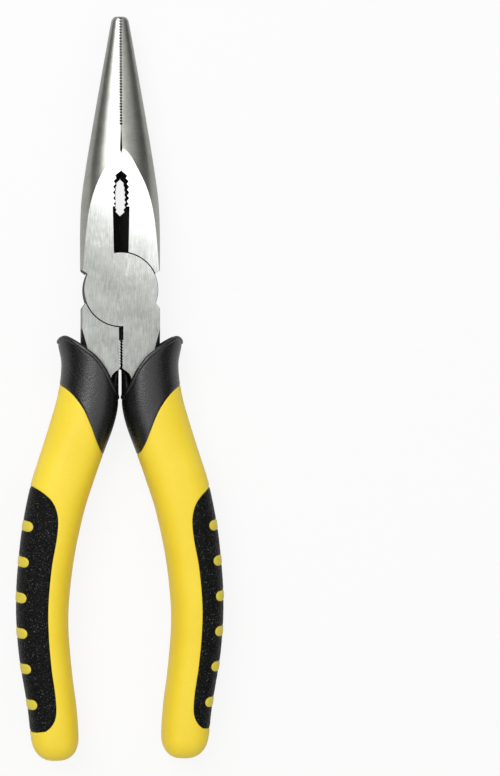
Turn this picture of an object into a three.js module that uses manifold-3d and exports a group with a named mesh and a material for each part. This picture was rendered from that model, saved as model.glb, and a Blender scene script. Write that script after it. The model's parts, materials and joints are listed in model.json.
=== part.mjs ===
// Long nose combination pliers, closed and lying on their side.
//
// Two forged halves cross in a lap joint and turn on one flush rivet. Each half is a conical
// jaw, half of the round joint boss, and a tang that runs down inside a three-colour grip:
// a black core with a collar and thumb guard, a yellow shell, and a black textured inlay
// through which six yellow ridges stand.
//
// Units are millimetres. Shapes are drawn round the rivet, with +X to the right, +Y to the
// tips and +Z to the face with the boss of the left jaw. The whole is then lifted so that the
// origin lies under its middle, on the surface that the pliers rest on.

import * as THREE from 'three';
import { mergeVertices } from 'three/addons/utils/BufferGeometryUtils.js';
import Module from 'manifold-3d';

const wasm = await Module();
wasm.setup();

// Overall
const LENGTH = 200;
const TIP_Y = 73.6;                       // rivet to tips
const END_Y = TIP_Y - LENGTH;             // rivet to the ends of the grips
const GRIP_HALF_DEPTH = 9;
const FIT_GAP = 0.3;                      // between pieces that are moulded or pressed together

// Joint
const HEAD_THICKNESS = 10.4;
const FACE_Z = HEAD_THICKNESS / 2;
const BOSS_RADIUS = 9.95;
const LAP_GAP = 0.1;                      // each boss stops this far from the middle plane
const BOSS_CLEARANCE = 0.3;               // between a boss and the other half
const SHOULDER = [[9.0, 4.1], [10.7, 5.3], [14, 7.6]];
const TANG_SHOULDER_TOP = [[0, -3.5], [9.3, -3.5], [10.6, -5.3], [14, -10]];

// Rivet
const SHANK_RADIUS = 3;
const HEAD_RADIUS = 4.7;
const HEAD_DEPTH = 1.9;
const HEAD_RIM = 1.1;
const FLARE_RADIUS = 3.6;
const FLARE_DEPTH = 0.8;
const RIVET_CLEARANCE = 0.06;

// Jaw: [distance from the rivet, half width] and [distance, half depth of the cone]
const JAW_WIDTHS = [[4, 10.72], [16, 10.75], [24, 10.4], [32, 9.35], [44, 7.4], [60, 4.6], [72, 2.45],
  [73, 2.15], [73.6, 1.6]];
const JAW_DEPTHS = [[4, 45], [10.8, 21], [17.3, 9.8], [23.7, 7.7], [30.2, 6.43], [37.7, 5.2], [55, 3.45],
  [73, 1.75], [73.6, 1.3]];
const JAW_STATIONS = [3.5, 8, 12, 16, 20, 24, 28, 32, 37.7, 44, 52, 60, 67, 72, 73, 73.6];
const CLOSED_GAP = 0.05;                  // from the middle line to each closed jaw
const TEETH_END_Y = 43.9;
const TOOTH_PITCH = 0.775;
const TOOTH_DEPTH = 0.22;
const RELIEVED_GAP = 0.18;                // along the smooth stretch below the teeth

// Pipe grip: a toothed oval through both jaws
const PIPE_CENTRE_Y = 25.9;
const PIPE_HALF_LENGTH = 5.9;
const PIPE_HALF_WIDTH = 2.15;
const PIPE_ROUNDNESS = 2.5;
const PIPE_TOOTH_PITCH = 1.53;
const PIPE_TOOTH_DEPTH = 0.65;
const PIPE_SIDE_TEETH = 3;                // valleys on each side of the middle one

// Wire cutter: a slot on the front and a pocket on the back leave two edges that meet
const SLOT_HALF_WIDTH = 2.3;
const SLOT_TOP_Y = 22.9;
const SLOT_FLOOR_Z = 1.8;
const EDGE_Z = -0.6;
const POCKET_HALF_WIDTH = 3.6;
const POCKET_CENTRE_Y = 16.7;
const POCKET_HALF_LENGTH = 5.15;
const POCKET_DEPTH = 4.3;

// Throat between the tangs
const RELIEF_HALF_WIDTH = 0.6;
const RELIEF_END_Y = -13.6;
const THROAT_END_Y = -21;
const THROAT_GAP = 0.15;

// Tang: [distance from the rivet, inner edge], [.., outer edge], [.., half thickness], [.., bevel]
const TANG_INNER = [[-3, 0], [-21, 0], [-23, 0.9], [-25.5, 2.3], [-32, 4.4], [-44, 9.3], [-60, 15],
  [-72, 17.4], [-84, 18.2], [-98, 17.4]];
const TANG_OUTER = [[-3, 10.65], [-15, 10.65], [-24, 11], [-32, 12.7], [-44, 16.8], [-60, 21.2],
  [-72, 23], [-84, 23.6], [-98, 22.6]];
const TANG_HALF_DEPTHS = [[-3, 5.2], [-26, 5.2], [-44, 4.3], [-98, 4]];
const TANG_BEVELS = [[-3, 0.05], [-10.7, 0.05], [-17.4, 2], [-26, 2], [-44, 1.4], [-98, 1.2]];
const TANG_STATIONS = [-3, -10.7, -17.4, -21, -23, -25.5, -32, -38, -44, -52, -60, -72, -84, -97];
const TANG_END_ROUND = 1.2;
const SLEEVE_WALL = 1.3;
const SLEEVE_SKIN = 0.5;                  // least cover over the sleeve

// Grip: [distance from the rivet, edge]
const GRIP_OUTER = [[-11, 17], [-14, 17.1], [-20, 15.8], [-28, 16.7], [-36, 18.9], [-44, 21.4], [-52, 23.9],
  [-64, 26.3], [-76, 27.6], [-84, 27.95], [-92, 27.7], [-100, 26.9], [-112, 24.9], [-120, 24], [END_Y, 23]];
const GRIP_INNER = [[-11, 0.45], [-30, 0.5], [-36, 1.6], [-44, 4.5], [-52, 7.3], [-60, 9.8], [-72, 12.35],
  [-84, 13.75], [-92, 13.85], [-104, 12.8], [-112, 11.75], [-120, 11.2], [END_Y, 11.4]];
const GRIP_HALF_DEPTHS = [[-11, 8.7], [-20, 8.3], [-44, 8.2], [-60, 8.6], [-84, GRIP_HALF_DEPTH],
  [-104, 8.5], [END_Y, 7.8]];
const GRIP_STATIONS = [-11, -14, -17, -20, -25, -30, -36, -44, -52, -60, -68, -76, -84, -92, -100, -108,
  -114, -120];
const GRIP_END_STEPS = 5;
const GRIP_END_ROUND = -120 - END_Y;
const GRIP_SQUARENESS = 2.6;
const GRIP_SIDES = 16;

// Lines across the grip, seen from the front, on the right-hand handle
const COLLAR_RIM = [[2.15, -25.5], [4.6, -20.9], [7.3, -17.7], [9.4, -16.1], [12.1, -14.2], [15.3, -12.4],
  [16.3, -12.5], [17.4, -13.4]];
const COLLAR_FOOT = [[1, -48], [5, -43.8], [6.5, -41], [8.4, -36], [10.2, -32], [12.9, -28.3], [15.8, -25.8],
  [19, -24]];
const TONGUE = [[0.45, -21.7], [1.2, -21.7], [2.2, -23], [4, -26], [4, -31], [0.5, -31]];
const TONGUE_HALF_DEPTH = 3.9;
const INLAY_EDGE = [[26.5, -51.6], [23.8, -52.8], [19.7, -56.2], [18, -60.5], [18.2, -66], [19.6, -74],
  [20.5, -84], [20.4, -92], [19.6, -101], [18.5, -109], [18.5, -114], [20.2, -117], [23, -118.4], [26, -118.6]];
const INLAY_LEAN = 0.115;                 // how far the edge moves outward for each mm of height
const INLAY_DEPTH = 1.2;
const RIDGES = 6;
const FIRST_RIDGE_Y = -63.05;
const RIDGE_PITCH = 9.57;
const RIDGE_HALF_HEIGHT = 1.35;
const RIDGE_REACH = 2.4;                  // from the outer edge of the grip inward
const RIDGE_PROUD = 0.2;
const RIDGE_STEPS = 4;

// ---------- curves and solids ----------

// A smooth function of the first number of each point, through all of them.
function smooth(points) {
  const slope = (i) => {
    const [x0, y0] = points[Math.max(i - 1, 0)];
    const [x1, y1] = points[Math.min(i + 1, points.length - 1)];
    return (y1 - y0) / (x1 - x0);
  };
  return (x) => {
    const falling = points[0][0] > points[1][0];
    let i = points.findIndex(([px]) => (falling ? px < x : px > x)) - 1;
    if (i < 0) i = i === -1 ? 0 : points.length - 2;
    const [x0, y0] = points[i];
    const [x1, y1] = points[i + 1];
    const span = x1 - x0;
    const t = THREE.MathUtils.clamp((x - x0) / span, 0, 1);
    return y0 * (1 + 2 * t) * (1 - t) ** 2 + slope(i) * span * t * (1 - t) ** 2
      + y1 * t * t * (3 - 2 * t) - slope(i + 1) * span * t * t * (1 - t);
  };
}

// Straight runs between points, for a size that changes at corners.
function straight(points) {
  return (x) => {
    const i = points.findIndex(([px], k) => k > 0 && (px - x) * (px - points[0][0]) >= 0);
    const [x0, y0] = points[i < 0 ? points.length - 2 : i - 1];
    const [x1, y1] = points[i < 0 ? points.length - 1 : i];
    return y0 + (y1 - y0) * (x - x0) / (x1 - x0);
  };
}

function solid(geometry) {
  const bare = new THREE.BufferGeometry();
  bare.setAttribute('position', geometry.getAttribute('position'));
  bare.setIndex(geometry.getIndex());
  const merged = mergeVertices(bare, 1e-5);
  return new wasm.Manifold(new wasm.Mesh({
    numProp: 3,
    vertProperties: new Float32Array(merged.attributes.position.array),
    triVerts: new Uint32Array(merged.index.array),
  }));
}

function mesh(name, body, color, roughness, metalness) {
  const { vertProperties, triVerts } = body.getMesh();
  const geometry = new THREE.BufferGeometry();
  geometry.setAttribute('position', new THREE.BufferAttribute(vertProperties, 3));
  geometry.setIndex(new THREE.BufferAttribute(triVerts, 1));
  geometry.computeVertexNormals();
  const made = new THREE.Mesh(geometry, new THREE.MeshStandardMaterial({ color, roughness, metalness }));
  made.name = name;
  return made;
}

// An outline in X and Y as a block from bottom to top. Lean moves it along X as it rises.
function block(outline, bottom = -20, top = 20, lean = 0) {
  const shape = new THREE.Shape(outline.map(([x, y]) => new THREE.Vector2(x, y)));
  const geometry = new THREE.ExtrudeGeometry(shape, { depth: top - bottom, bevelEnabled: false });
  geometry.translate(0, 0, bottom);
  geometry.applyMatrix4(new THREE.Matrix4().makeShear(0, 0, 0, 0, lean, 0));
  return solid(geometry);
}

// A skin over rings of equal length, each a closed loop of points, with flat ends.
function loft(rings) {
  const sides = rings[0].length;
  const positions = rings.flat().flat();
  const faces = [];
  for (let k = 0; k < rings.length - 1; k += 1) {
    for (let i = 0; i < sides; i += 1) {
      const a = k * sides + i;
      const b = k * sides + (i + 1) % sides;
      faces.push(a, b, b + sides, a, b + sides, a + sides);
    }
  }
  const last = (rings.length - 1) * sides;
  for (let i = 1; i < sides - 1; i += 1) {
    faces.push(0, i + 1, i, last, last + i, last + i + 1);
  }
  const geometry = new THREE.BufferGeometry();
  geometry.setAttribute('position', new THREE.Float32BufferAttribute(positions, 3));
  geometry.setIndex(faces);
  return solid(geometry);
}

function disc(radius, bottom, top) {
  return turned([[0, bottom], [radius, bottom], [radius, top], [0, top]], 48);
}

// A profile of [radius, height] turned round the rivet's axis.
function turned(profile, sides) {
  const geometry = new THREE.LatheGeometry(profile.map(([r, z]) => new THREE.Vector2(r, z)), sides);
  geometry.rotateX(Math.PI / 2);
  return solid(geometry);
}

// The same shape on the other half: half a turn about the length of the pliers.
const swapped = (body) => body.rotate([0, 180, 0]);

// ---------- head ----------

// Points down the closing line, from the tips to the joint, at a distance from the middle line.
function closingLine() {
  const points = [[CLOSED_GAP, TIP_Y + 1]];
  const teeth = Math.floor((TIP_Y - TEETH_END_Y) / TOOTH_PITCH);
  for (let i = 0; i < teeth; i += 1) {
    const y = TEETH_END_Y + (teeth - i) * TOOTH_PITCH;
    points.push([CLOSED_GAP, y], [CLOSED_GAP + TOOTH_DEPTH, y - TOOTH_PITCH / 2]);
  }
  const pipeTop = PIPE_CENTRE_Y + PIPE_HALF_LENGTH;
  points.push([CLOSED_GAP, TEETH_END_Y], [RELIEVED_GAP, TEETH_END_Y - 1], [RELIEVED_GAP, pipeTop]);
  points.push(...pipeGrip(), [CLOSED_GAP, PIPE_CENTRE_Y - PIPE_HALF_LENGTH], [CLOSED_GAP, 8]);
  return points;
}

function pipeGrip() {
  const halfWidth = (y) => {
    const share = Math.abs(y - PIPE_CENTRE_Y) / PIPE_HALF_LENGTH;
    return PIPE_HALF_WIDTH * (1 - share ** PIPE_ROUNDNESS) ** (1 / PIPE_ROUNDNESS);
  };
  const points = [];
  for (let k = PIPE_SIDE_TEETH; k >= -PIPE_SIDE_TEETH; k -= 1) {
    const valley = PIPE_CENTRE_Y + k * PIPE_TOOTH_PITCH;
    const crest = valley - PIPE_TOOTH_PITCH / 2;
    points.push([halfWidth(valley), valley]);
    if (k > -PIPE_SIDE_TEETH) points.push([halfWidth(crest) - PIPE_TOOTH_DEPTH, crest]);
  }
  return points;
}

// Both jaws as one cone, ground flat on its two faces where it is thicker than the joint.
function jawCone() {
  const width = smooth(JAW_WIDTHS);
  const depth = smooth(JAW_DEPTHS);
  const quarter = 4;
  return loft(JAW_STATIONS.map((y) => {
    const turn = Math.asin(Math.min(0.997, FACE_Z / depth(y)));
    const right = [];
    for (let i = -quarter; i <= quarter; i += 1) {
      const angle = turn * i / quarter;
      right.push([width(y) * Math.cos(angle), y, depth(y) * Math.sin(angle)]);
    }
    const left = right.map(([x, , z]) => [-x, y, z]).reverse();
    return [...right, ...left].reverse();
  }));
}

function leftBlade() {
  const inner = closingLine().map(([x, y]) => [-x, y]);
  const shoulder = SHOULDER.map(([x, y]) => [-x, y]);
  return jawCone().intersect(block([...inner, ...shoulder, [-14, TIP_Y + 1]]));
}

function cutterSlot() {
  const low = 5;
  const section = [[-SLOT_HALF_WIDTH, 8], [-SLOT_HALF_WIDTH, SLOT_FLOOR_Z], [-CLOSED_GAP, EDGE_Z],
    [CLOSED_GAP, EDGE_Z], [SLOT_HALF_WIDTH, SLOT_FLOOR_Z], [SLOT_HALF_WIDTH, 8]];
  return block(section, low, SLOT_TOP_Y).rotate([90, 0, 0]).translate([0, SLOT_TOP_Y + low, 0]);
}

function cutterPocket() {
  const bowl = new THREE.SphereGeometry(1, 20, 10);
  bowl.scale(POCKET_HALF_WIDTH, POCKET_HALF_LENGTH, POCKET_DEPTH);
  bowl.translate(0, POCKET_CENTRE_Y, -FACE_Z);
  return solid(bowl);
}

// ---------- tang ----------

// The right-hand tang from the joint to its end in the grip, larger all round by grow.
function tangBar(grow) {
  const inner = smooth(TANG_INNER);
  const outer = smooth(TANG_OUTER);
  const halfDepth = straight(TANG_HALF_DEPTHS);
  const bevel = straight(TANG_BEVELS);
  const ring = (y, at, inset) => {
    const low = inner(y) - grow + inset;
    const high = outer(y) + grow - inset;
    const z = halfDepth(y) + grow - inset;
    const cut = Math.min(bevel(y), (high - low) / 3);
    return [[high, at, -z + cut], [high, at, z - cut], [high - cut, at, z], [low + 0.3, at, z],
      [low, at, z - 0.3], [low, at, -z + 0.3], [low + 0.3, at, -z], [high - cut, at, -z]];
  };
  const last = TANG_STATIONS.at(-1);
  const rings = TANG_STATIONS.map((y) => ring(y, y, 0));
  rings.push(ring(last, last - TANG_END_ROUND - grow, TANG_END_ROUND));
  return loft(rings);
}

// What is cut from the inner side of the tangs: the relief slot, the throat teeth and the edges.
function throat() {
  const points = [[-5, -8], [RELIEF_HALF_WIDTH, -8], [RELIEF_HALF_WIDTH, RELIEF_END_Y]];
  const teeth = Math.floor((RELIEF_END_Y - THROAT_END_Y) / TOOTH_PITCH);
  for (let i = 0; i < teeth; i += 1) {
    const y = RELIEF_END_Y - i * TOOTH_PITCH;
    points.push([THROAT_GAP, y - 0.02], [THROAT_GAP + TOOTH_DEPTH, y - TOOTH_PITCH / 2]);
  }
  points.push([THROAT_GAP, THROAT_END_Y], [-5, THROAT_END_Y - 3]);
  return block(points);
}

function rightTang() {
  const shoulder = block([...TANG_SHOULDER_TOP, [14, 4], [0, 4]]);
  return tangBar(0).subtract(throat()).subtract(shoulder);
}

// The half with the left jaw. Both halves are forged alike, but the wire cutter and the rivet's
// hole are cut from the assembled pair, so each half is given its own.
function jawHalf(cutters, hole) {
  const boss = disc(BOSS_RADIUS, LAP_GAP, FACE_Z);
  const seat = disc(BOSS_RADIUS + BOSS_CLEARANCE, -FACE_Z - 1, LAP_GAP);
  return leftBlade().subtract(cutters).add(boss).add(rightTang()).subtract(seat).subtract(hole);
}

// ---------- rivet ----------

// Flush at both ends: a countersunk head at the back and a peened flare at the front.
// With a clearance it is the hole for the rivet, a hair longer than the head is thick.
function rivet(clearance) {
  const end = FACE_Z + (clearance > 0 ? 0.02 : 0);
  return turned([
    [0, -end],
    [HEAD_RADIUS + clearance, -end],
    [HEAD_RADIUS + clearance, HEAD_RIM / 2 - FACE_Z],
    [SHANK_RADIUS + clearance, HEAD_DEPTH - FACE_Z],
    [SHANK_RADIUS + clearance, FACE_Z - FLARE_DEPTH],
    [FLARE_RADIUS + clearance, end],
    [0, end],
  ], 36);
}

// ---------- grips ----------

// The whole right-hand grip, smaller all round by inset.
function gripBody(inset) {
  const outer = smooth(GRIP_OUTER);
  const inner = smooth(GRIP_INNER);
  const halfDepth = smooth(GRIP_HALF_DEPTHS);
  const ring = (y, at, shrink) => {
    const middle = (outer(y) + inner(y)) / 2;
    const halfWidth = ((outer(y) - inner(y)) / 2 - inset) * shrink;
    const depth = (halfDepth(y) - inset) * shrink;
    const points = [];
    for (let i = 0; i < GRIP_SIDES; i += 1) {
      const angle = i * 2 * Math.PI / GRIP_SIDES;
      const along = (value) => Math.sign(value) * Math.abs(value) ** (2 / GRIP_SQUARENESS);
      points.push([middle + halfWidth * along(Math.cos(angle)), at, depth * along(Math.sin(angle))]);
    }
    return points;
  };
  const rings = GRIP_STATIONS.map((y) => ring(y, y, 1));
  const reach = GRIP_END_ROUND - inset;
  for (let i = 1; i <= GRIP_END_STEPS; i += 1) {
    const share = Math.sin(i / GRIP_END_STEPS * Math.PI * 0.47);
    const y = GRIP_STATIONS.at(-1) - reach * (i === GRIP_END_STEPS ? 1 : share);
    rings.push(ring(y, y, (1 - share ** GRIP_SQUARENESS) ** (1 / GRIP_SQUARENESS)));
  }
  return loft(rings);
}

// Everything on the tip side of a line that crosses the grip from left to right.
function above(line, shift) {
  const moved = line.map(([x, y]) => [x, y + shift]);
  return block([[-5, 0], [-5, moved[0][1]], ...moved, [40, moved.at(-1)[1]], [40, 0]]);
}

// Collar with the thumb guard, the tongue in the throat, and the sleeve that holds the tang.
function gripCore() {
  const rim = above([[-1, -31], ...COLLAR_RIM], 0);
  const collar = gripBody(0).subtract(rim).intersect(above(COLLAR_FOOT, 0));
  const tongue = block(TONGUE, -TONGUE_HALF_DEPTH, TONGUE_HALF_DEPTH);
  const sleeve = tangBar(FIT_GAP + SLEEVE_WALL).subtract(rim).intersect(gripBody(SLEEVE_SKIN));
  return collar.add(tongue).add(sleeve).subtract(tangBar(FIT_GAP));
}

function inlayRegion(grow) {
  const [centreX, centreY] = [23, -85];
  const outline = INLAY_EDGE.map(([x, y]) => {
    const away = Math.hypot(x - centreX, y - centreY);
    return [x + grow * (x - centreX) / away * 1.2, y + grow * (y - centreY) / away * 1.2];
  });
  return block([...outline, [40, -118.6 - grow], [40, -51.6 + grow]].reverse(), -20, 20, INLAY_LEAN);
}

// The ridges across the outer edge of the grip, as bars with round inner ends.
function ridgeBars(grow) {
  const outer = smooth(GRIP_OUTER);
  const radius = RIDGE_HALF_HEIGHT + grow;
  let bars = null;
  for (let i = 0; i < RIDGES; i += 1) {
    const y = FIRST_RIDGE_Y - i * RIDGE_PITCH;
    const slope = Math.atan((outer(y + 1) - outer(y - 1)) / 2);
    const outline = [[8, -radius], [8, radius]];
    for (let k = 0; k <= RIDGE_STEPS; k += 1) {
      const angle = Math.PI / 2 + Math.PI * k / RIDGE_STEPS;
      outline.push([RIDGE_HALF_HEIGHT + radius * Math.cos(angle), radius * Math.sin(angle)]);
    }
    const bar = block(outline.reverse()).translate([-RIDGE_REACH, 0, 0])
      .rotate([0, 0, -THREE.MathUtils.radToDeg(slope)]).translate([outer(y), y, 0]);
    bars = bars ? bars.add(bar) : bar;
  }
  return bars;
}

function gripShell() {
  const pocket = gripBody(-1).subtract(gripBody(INLAY_DEPTH + FIT_GAP)).intersect(inlayRegion(FIT_GAP / 2));
  const ridges = gripBody(-RIDGE_PROUD).subtract(gripBody(INLAY_DEPTH + 1)).intersect(ridgeBars(0));
  return gripBody(0).subtract(above(COLLAR_FOOT, -FIT_GAP)).subtract(pocket).add(ridges)
    .subtract(tangBar(2 * FIT_GAP + SLEEVE_WALL));
}

function gripInlay() {
  return gripBody(0).subtract(gripBody(INLAY_DEPTH)).intersect(inlayRegion(-FIT_GAP / 2))
    .subtract(ridgeBars(FIT_GAP));
}

// ---------- assembly ----------

// One half of the pliers as drawn for the left jaw, with the grip on the right.
function half(jawName, gripSide, cutters, hole) {
  const group = new THREE.Group();
  group.add(mesh(`${jawName}_jaw_half`, jawHalf(cutters, hole), 0xb4b6b0, 0.35, 1));
  group.add(mesh(`${gripSide}_grip_core`, gripCore(), 0x1c1c1c, 0.55, 0));
  group.add(mesh(`${gripSide}_grip_shell`, gripShell(), 0xf3cf3f, 0.5, 0));
  group.add(mesh(`${gripSide}_grip_inlay`, gripInlay(), 0x161616, 0.8, 0));
  return group;
}

const cutters = cutterSlot().add(cutterPocket());
const hole = rivet(RIVET_CLEARANCE);

const leftJawHalf = half('left', 'right', cutters, hole);
const rightJawHalf = half('right', 'left', swapped(cutters), swapped(hole));
rightJawHalf.rotation.y = Math.PI;

const pliers = new THREE.Group();
pliers.add(leftJawHalf, rightJawHalf, mesh('pivot_rivet', rivet(0), 0xa9aba6, 0.4, 1));
pliers.position.set(0, LENGTH / 2 - TIP_Y, GRIP_HALF_DEPTH);

export default pliers;
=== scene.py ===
"""Long nose combination pliers, closed and lying on their side.

Two forged halves cross in a lap joint on one flush rivet. Each half is a ground conical jaw, half
of the round joint boss and a tang that runs down inside a grip moulded from three plastics: a
black core with a collar, a yellow shell, and a black grained inlay between six yellow ridges.

Shapes are drawn in millimetres round the rivet, with +X to the right, +Y to the tips and +Z to
the front, for the half with the left jaw and the right-hand grip. The other half is the same,
turned half round the length of the pliers. Each piece is then placed in metres on the frame.
"""

import json
import math

import bpy
import numpy as np
from mathutils import Matrix, Vector, noise


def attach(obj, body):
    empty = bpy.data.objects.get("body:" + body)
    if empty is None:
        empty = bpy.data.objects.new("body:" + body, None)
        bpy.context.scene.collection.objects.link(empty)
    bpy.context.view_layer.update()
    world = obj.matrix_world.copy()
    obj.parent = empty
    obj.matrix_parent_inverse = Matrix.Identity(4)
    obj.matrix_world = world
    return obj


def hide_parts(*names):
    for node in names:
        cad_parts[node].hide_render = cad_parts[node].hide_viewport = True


MM = 0.001

# Overall
TIP_Y = 73.6
END_Y = -126.4
FIT_GAP = 0.3                  # round the tang and the sleeve, inside the grip
SEAM = 0.05                    # between two plastics where they meet at the surface
ON_AXIS = 0.001                # the radius that closes a turned solid at its axis
ROUND_STEPS = 128              # round the boss and its seat
OVERRUN = 1                    # by which a cutting block passes the face that it cuts
ACROSS_X = -5                  # past the closing line, for blocks on the other side of it
HEAD_SIDE_X = 14               # past the side of the head
GRIP_SIDE_X = 40               # past the outer side of the grips
CLEAR_Z = 20                   # past both faces

# Joint
FACE_Z = 5.2
BOSS_RADIUS = 9.95
BOSS_CHAMFER = 0.12
LAP_GAP = 0.1
BOSS_CLEARANCE = 0.2           # between a boss and the other half's seat
INSIDE_JOINT_Y = 8             # hidden by the boss, where the closing line may stop
SHOULDER = [(9.0, 4.1), (10.7, 5.3), (14, 7.6)]
TANG_SHOULDER_TOP = [(0, -3.5), (9.3, -3.5), (10.6, -5.3), (14, -10)]
TANG_CUT_Y = 4                 # the tang is cut away from its shoulder up to here

# Rivet
SHANK_RADIUS = 3
HEAD_RADIUS = 4.7
HEAD_DEPTH = 1.9
HEAD_RIM = 1.1
FLARE_RADIUS = 3.6
FLARE_DEPTH = 0.8
FRONT_CLEARANCE = 0.0          # round the shank and the flare, in the hole
BACK_CLEARANCE = 0.07          # round the head
FRONT_FILL = 0.02              # by which the peened end fills its hole
HOLE_OVERRUN = 0.02
RIVET_STEPS = 96

# Jaw
JAW_WIDTHS = [(4, 10.72), (16, 10.75), (24, 10.4), (32, 9.35), (44, 7.4), (60, 4.6), (72, 2.45),
              (73, 2.15), (73.6, 1.6)]
JAW_DEPTHS = [(37.7, 5.2), (55, 3.45), (73, 1.75), (73.6, 1.3)]
ARCH_TOP_Y = 37.7              # where the ground flat begins
# Half the width of the flat, at each square root of the distance below its top
ARCH = [(0, 0.05), (1.3, 2.4), (2.17, 4.1), (3.27, 6.95), (3.96, 8.36), (4.66, 9.28), (5.85, 10.3)]
ARCH_STEPS = 70                # down the arch
CONE_STEPS = 28                # round one side of the cone
CONE_START = 0.4               # from the arch's top to the next section
CONE_SPACING = 0.6             # and between sections above it
TIP_LENGTH = 1.6               # of the rounded tip
TIP_STEPS = 8
CLOSED_GAP = 0.06
EDGE_GAP = 0.01                # between the cutting edges
TEETH_END_Y = 43.9
TOOTH_PITCH = 0.775
TOOTH = [(0, 0), (0.15, 0.3), (0.6, 0.3), (0.75, 0)]  # (share of the pitch, depth) round one groove
RELIEVED_GAP = 0.3             # widest opening of the gap below the teeth
RELIEVED_Y = 37.3              # where it is widest
RELIEF_CLOSED_Y = 36.5         # and where it has closed again

# Pipe grip
PIPE_CENTRE_Y = 25.9
PIPE_HALF_LENGTH = 5.9
PIPE_HALF_WIDTH = 2.2
PIPE_ROUNDNESS = 2.5
PIPE_TOOTH_PITCH = 1.53
PIPE_TOOTH_DEPTH = 0.6
PIPE_SIDE_TEETH = 3
PIPE_WAIST = 0.55              # how far each side closes in halfway through
PIPE_WAIST_TOP = 2.0           # and how far the top does
PIPE_OVERRUN = 0.01

# Wire cutter
SLOT_HALF_WIDTHS = (1.85, 2.25)  # at its low end and its top
SLOT_TOP_Y = 22.2
SLOT_LOW_Y = 5
SLOT_OPEN_Z = 8                # in front of the face
SLOT_FLOOR_Z = 1.8
EDGE_Z = -0.6
POCKET_CENTRE_Y = 16.7
POCKET_SIZE = (3.6, 5.15, 4.3)
POCKET_STEPS = 64              # round the pocket
POCKET_RINGS = 24              # from one pole of its bowl to the other
POCKET_POLE = 0.499            # half turns from its middle to its last ring, just short of the pole

# Throat between the tangs
RELIEF_HALF_WIDTH = 0.6
RELIEF_DEPTH = 3.5
RELIEF_GAP = 0.04              # from the closing line, between the front slot and the back one
RELIEF_END_Y = -13.6
THROAT_TOP_Y = -8              # inside the joint
THROAT_END_Y = -21
THROAT_GAP = 0.19
THROAT_TOOTH_DEPTH = 0.3
THROAT_TOOTH_STEP = 0.02       # height of a tooth's upper side
THROAT_MOUTH = 3               # length over which the cut's lower end slopes off

# Tang
TANG_TOP_Y = -3
TANG_INNER = [(-3, 0), (-21, 0), (-21.6, 0.6), (-22.1, 1.4), (-22.9, 2.1), (-24, 2.5), (-25.5, 2.8),
              (-32, 4.4), (-44, 9.3), (-60, 15), (-72, 17.4), (-84, 18.2), (-98, 17.4)]
TANG_OUTER = [(-3, 10.4), (-15, 10.5), (-24, 11), (-32, 12.7), (-44, 16.8), (-60, 21.2), (-72, 23),
              (-84, 23.6), (-98, 22.6)]
TANG_HALF_DEPTHS = [(-3, 5.2), (-26, 5.2), (-44, 4.3), (-98, 4)]
TANG_BEVELS = [(-3, 0.05), (-10.7, 0.05), (-17.4, 2), (-26, 2), (-44, 1.4), (-98, 1.2)]
TANG_SPACING = 0.5
SIDE_END_Y = -10.7             # the tang's side is ground down to here
TANG_END_Y = -97
TANG_END_ROUND = 1.2
TANG_CHAMFER = 0.3             # along its inner edges
BEVEL_TURN = math.radians(62)  # how far the forged side turns before the ground face cuts it
BEVEL_STEPS = 5
SLEEVE_WALL = 1.3
SLEEVE_SKIN = 0.8              # between the sleeve and the surface of the grip

# Grip
GRIP_TOP_Y = -11
GRIP_OUTER = [(-11, 16.7), (-14, 16.8), (-20, 15.8), (-28, 16.7), (-36, 18.9), (-44, 21.4), (-52, 23.9),
              (-64, 26.3), (-76, 27.6), (-84, 27.95), (-92, 27.7), (-100, 26.9), (-112, 24.9), (-120, 24),
              (END_Y, 23)]
GRIP_INNER = [(-11, 0.45), (-30, 0.5), (-36, 1.6), (-44, 4.5), (-52, 7.3), (-60, 9.8), (-72, 12.35),
              (-84, 13.75), (-92, 13.85), (-104, 12.8), (-112, 11.75), (-120, 11.2), (END_Y, 11.4)]
GRIP_HALF_DEPTHS = [(-11, 8.5), (-20, 8.2), (-44, 8.1), (-60, 8.5), (-84, 8.88), (-104, 8.4),
                    (END_Y, 7.7)]
GRIP_ROUND_Y = -120            # where the end begins to round off
GRIP_SQUARENESS = [(-11, 2.15), (-30, 2.2), (-48, 2.6), (END_Y, 2.6)]  # 2 is an ellipse
GRIP_LEAN = [(-11, -1.6), (-30, -1.6), (-48, 0), (END_Y, 0)]  # how far the crest is moved inward
END_SQUARENESS = 2.6
END_STOP = 0.004               # radians by which the last ring stops short of the very end
SKIN_SPACING = 0.3             # between points of a skin that shows
CORE_SPACING = 1.2             # and of one that doesn't
SECTION_LENGTH = 50            # round the grip
END_LENGTH = 11                # over its rounded end
LEAST_END_RINGS = 8
SECTION_SIZE = (7.2, 8.5)      # half the width and depth that a section's points are spaced on
FINE_STEPS = 4001              # for measuring along a section

# Lines across the grip, seen from the front
LINE_STEPS = 60
RIM_START = (-1, -31)          # across the closing line
COLLAR_RIM = [(2.15, -25.5), (4.6, -20.9), (7.3, -17.7), (9.4, -16.1), (12.1, -14.2), (14.9, -12.6),
              (15.8, -12.6), (16.4, -12.95), (16.8, -13.5), (17.1, -14.3)]
COLLAR_FOOT = [(1, -48), (5, -43.8), (6.5, -41), (8.4, -36), (10.2, -32), (12.9, -28.3), (15.8, -25.8),
               (19, -24)]
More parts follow.
